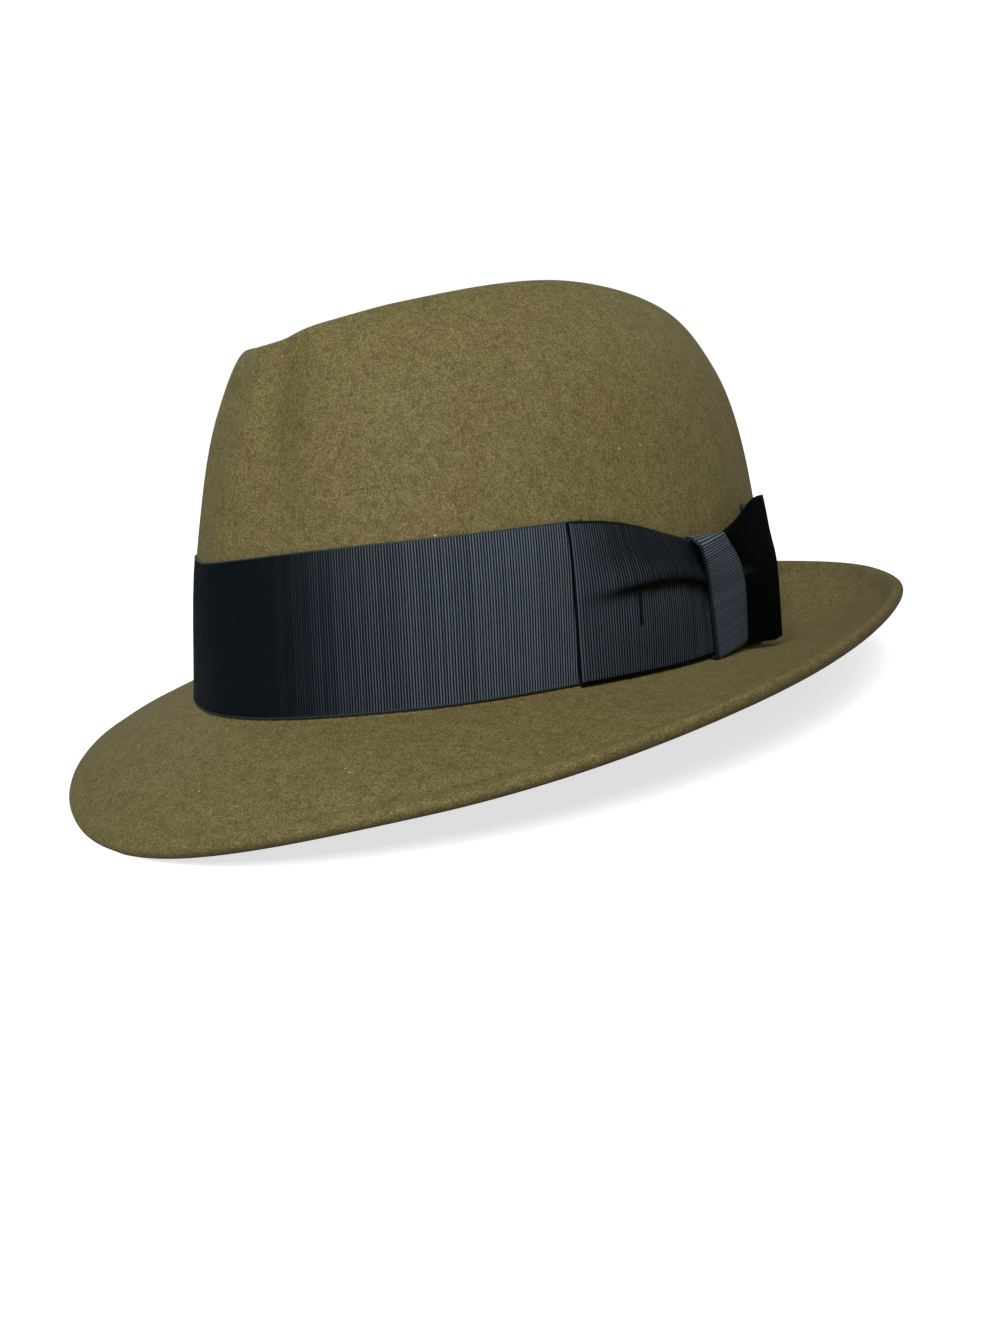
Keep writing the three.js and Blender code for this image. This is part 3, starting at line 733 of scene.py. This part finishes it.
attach(panel, "root")
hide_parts("bow_panel")


# Knot. A short length of the same ribbon, folded narrow, goes over the gathered middle of the
# bow and is tacked behind it, so that its ribs run across and catch the light.
# Painted light: the knot is a lighter copy of the same ribbon, as if its cross ribs were lit from above
knot_ribbon = ribbon_material(
    "knot_grosgrain_lit",
    dark=(0.003, 0.0055, 0.008, 1),
    light=(0.078, 0.104, 0.126, 1),
    gloss=0.12,
)
knot_width, knot_thickness, knot_pitch = 16, 0.8, 0.72
knot_top, knot_corner, corner_squash = 0.785, 2.2, 0.7
knot_tilt, knot_crown = 0.2, 0.5

# Space between strap and bow, room for the strap itself, and how near the felt its ends tuck in
knot_ease, knot_room, knot_tuck = 0.6, 0.7, 1.0

# How far the strap rises over the front loop's pleat and over the rear loop
pleat_ease, rear_ease, ease_fall = 2.1, 1.1, 1.5

# From foot to head of the ribbon: width of the strap, and its slant as a share of knot_slant
knot_table = [
    dict(at=0, width=22.5, lean=1),
    dict(at=0.25, width=22.5, lean=0.75),
    dict(at=0.5, width=21.5, lean=0.42),
    dict(at=0.62, width=19.5, lean=0.22),
    dict(at=0.8, width=15, lean=-0.15),
    dict(at=1, width=14.5, lean=-0.4),
]

# Path of the strap, as heights up the wall and distances out from it: out from under the
# bow's foot, up its front and in over its head
knot_foot = panel_table[-1]["foot"] * ribbon_width - knot_ease - knot_room
knot_head = knot_top * ribbon_width + knot_ease + knot_room
knot_reach = panel_base + panel_thickness + knot_ease + knot_room / 2
turn = np.linspace(0, 1, 12) * math.pi / 2
rise = np.linspace(knot_foot + knot_corner, knot_head - knot_corner, 40)
foot_bend = [
    knot_foot + knot_room / 2 + knot_corner * (1 - np.cos(turn)) * corner_squash,
    knot_tuck + (knot_reach - knot_tuck) * np.sin(turn),
]
head_bend = [
    knot_head - knot_room / 2 - knot_corner * (1 - np.sin(turn)) * corner_squash,
    knot_reach - (knot_reach - knot_tuck) * (1 - np.cos(turn)),
]
front = np.stack([rise, np.full(len(rise), knot_reach)], -1)
path = np.concatenate([np.stack(foot_bend, -1)[:-1], front, np.stack(head_bend, -1)[1:]])
path_length = lengths_along(path)

# Across, the strap is crowned, and it eases over the pleat in front and the rear loop behind
ribs, cord = count_cords(path_length[-1], knot_pitch)
where = cord / ribs * path_length[-1]
side = np.linspace(-0.5, 0.5, 25)
height = np.interp(where, path_length, path[:, 0])[:, None] + 0 * side
out = np.interp(where, path_length, path[:, 1])[:, None] + 0 * side
in_front = np.clip((out - 2) / 2, 0, 1)
width = table_value(knot_table, "width", np.clip(height / ribbon_width, 0, 1))
height = height + side * width * knot_tilt * in_front
share = height / ribbon_width
over_pleat = pleat_ease * hump(share, 0.68, 0.18) * np.clip(0.5 - side, 0, 1) ** ease_fall
over_rear = rear_ease * hump(share, 0.5, 0.3) * np.clip(2 * side, 0, 1) ** ease_fall
out = out + (knot_crown * (1 - (2 * side) ** 2) + over_pleat + over_rear) * in_front
lean = table_value(knot_table, "lean", np.clip(share, 0, 1)) * knot_slant
back = lean + (side + 0.5) * width - knot_width / 2 - over_pleat
middle = beside_wall(bow_angle(back), band_lift + height, out)
cords = uneven_cords(cord, random) * lower_at_edges(side + 0.5, 0.05)
knot = ribbed_ribbon("bow_knot_strap", middle[:, ::-1], cords[:, ::-1], knot_thickness, knot_ribbon)
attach(knot, "root")
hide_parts("bow_knot")


# Rear loop of the bow. The ribbon flares back from the knot, stands off the felt and folds
# under itself, and its inner ply shows below the outer one.
# Painted shade: a near-black copy of the same ribbon, as if in shadow
tail_ribbon = ribbon_material(
    "shaded_grosgrain",
    dark=(0.0002, 0.0013, 0.0008, 1),
    light=(0.044, 0.053, 0.056, 1),
    gloss=0.025,
)
tail_length, tail_stand_off, tail_flare, tail_thickness = 36, 9.5, 5.5, 0.7

# Round the loop, from the knot to the fold and back: shares of its length and stand-off, and
# of the ribbon's width for its foot and top
tail_table = [
    dict(along=0.12, out=0.23, foot=0.03, top=0.76),
    dict(along=0.3, out=0.25, foot=0.03, top=0.8),
    dict(along=0.48, out=0.52, foot=0.03, top=0.88),
    dict(along=0.75, out=0.8, foot=0.04, top=1.0),
    dict(along=0.95, out=0.95, foot=0.05, top=1.03),
    dict(along=1.0, out=0.84, foot=0.04, top=1.02),
    dict(along=0.96, out=0.66, foot=0.02, top=0.99),
    dict(along=0.7, out=0.45, foot=0.02, top=0.92),
    dict(along=0.4, out=0.17, foot=0.03, top=0.82),
    dict(along=0.12, out=0.1, foot=0.03, top=0.78),
]
stations = [dict(row, at=number) for number, row in enumerate(tail_table)]
fine = np.linspace(0, len(stations) - 1, 400)
run = np.stack([
    table_value(stations, "along", fine) * tail_length,
    table_value(stations, "out", fine) * tail_stand_off,
], -1)
run_length = lengths_along(run)
ribs, cord = count_cords(run_length[-1])
station = np.interp(cord / ribs * run_length[-1], run_length, fine)
across = np.linspace(0, 1, 25)
low, high = (table_value(stations, key, station)[:, None] for key in ("foot", "top"))
share = low + (high - low) * across
from_knot = np.interp(station, fine, run[:, 0])[:, None]
out = np.interp(station, fine, run[:, 1])[:, None] + 0 * share
back = from_knot + table_value(lean_table, "slant", np.minimum(share, 1)) * knot_slant
back += tail_flare * (0.5 - share) * from_knot / tail_length
middle = beside_wall(bow_angle(back), band_lift + share * ribbon_width, out)

# The cords are painted dark as shade, with a painted highlight in a soft band across the loop behind the
# knot; the same shares also set the ribs' height
shaded_cord, highlight_cord = 0.4, 0.48
along = from_knot / tail_length
highlight_place = hump(share, 0.53 + 0.03 * along, 0.07) * hump(along, 0.35, 0.45)
cords = uneven_cords(cord, random) * lower_at_edges(across, 0.03) * (shaded_cord + highlight_cord * highlight_place)
tail = ribbed_ribbon("bow_rear_loop", middle, cords, tail_thickness, tail_ribbon)
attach(tail, "root")
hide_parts("bow_tail")


# Studio. A pale paper floor and soft white light from all round, with a large soft lamp high
# behind the camera, and two weak ones to the right of the hat and behind it. The floor glows
# and the room is white for the camera alone, so that both look pale without lighting the hat.
floor_reach, floor_near, floor_far = 30, 0.3, 1.2
floor_corners = [(-1, -1), (1, -1), (1, 1), (-1, 1)]
floor_mesh = bpy.data.meshes.new("floor")
floor_mesh.from_pydata([(floor_reach * x, floor_reach * y, 0) for x, y in floor_corners], [], [(0, 1, 2, 3)])
floor_paper, nodes, shader = new_material("pale_paper")
shader.inputs["Base Color"].default_value = (0.5, 0.5, 0.5, 1)
shader.inputs["Roughness"].default_value = 0.9
shader.inputs["Specular IOR Level"].default_value = 0
shader.inputs["Emission Color"].default_value = (1, 1, 1, 1)
seen = nodes.add("LightPath").outputs["Is Camera Ray"]
on_floor = nodes.add("TexCoord").outputs["Object"]
away = nodes.add("VectorMath", {0: on_floor}, operation="LENGTH").outputs["Value"]
glow = nodes.math("MULTIPLY", seen, nodes.ramp(away, floor_near, floor_far, 0.72, 0.95))
nodes.tree.links.new(glow, shader.inputs["Emission Strength"])
floor_mesh.materials.append(floor_paper)
floor = bpy.data.objects.new("floor", floor_mesh)
bpy.context.scene.collection.objects.link(floor)

room_light, room_seen = 0.15, 1
world = bpy.data.worlds.new("soft_room")
world.use_nodes = True
background = world.node_tree.nodes["Background"]
background.inputs["Color"].default_value = (1, 1, 1, 1)
nodes = Nodes(world.node_tree)
seen = nodes.add("LightPath").outputs["Is Camera Ray"]
strength = nodes.ramp(seen, 0, 1, room_light, room_seen)
world.node_tree.links.new(strength, background.inputs["Strength"])
bpy.context.scene.world = world

lamp_aim = np.array([0, 0, 0.08])
lamp_table = [
    dict(name="key_lamp", place=(0.94, -0.85, 1.14), size=0.8, power=40),
    dict(name="side_lamp", place=(-1.4, 0.15, 0.9), size=1.2, power=4),
    dict(name="back_lamp", place=(0.1, 1.35, 1.0), size=1.2, power=4.5),
]
for row in lamp_table:
    light = bpy.data.lights.new(row["name"], "AREA")
    light.size = row["size"]
    light.energy = row["power"]
    lamp = bpy.data.objects.new(row["name"], light)
    lamp.location = row["place"]
    lamp.rotation_mode = "QUATERNION"
    lamp.rotation_quaternion = Vector(lamp_aim - row["place"]).to_track_quat("-Z", "Y")
    bpy.context.scene.collection.objects.link(lamp)
bpy.context.scene.view_settings.view_transform = "Standard"
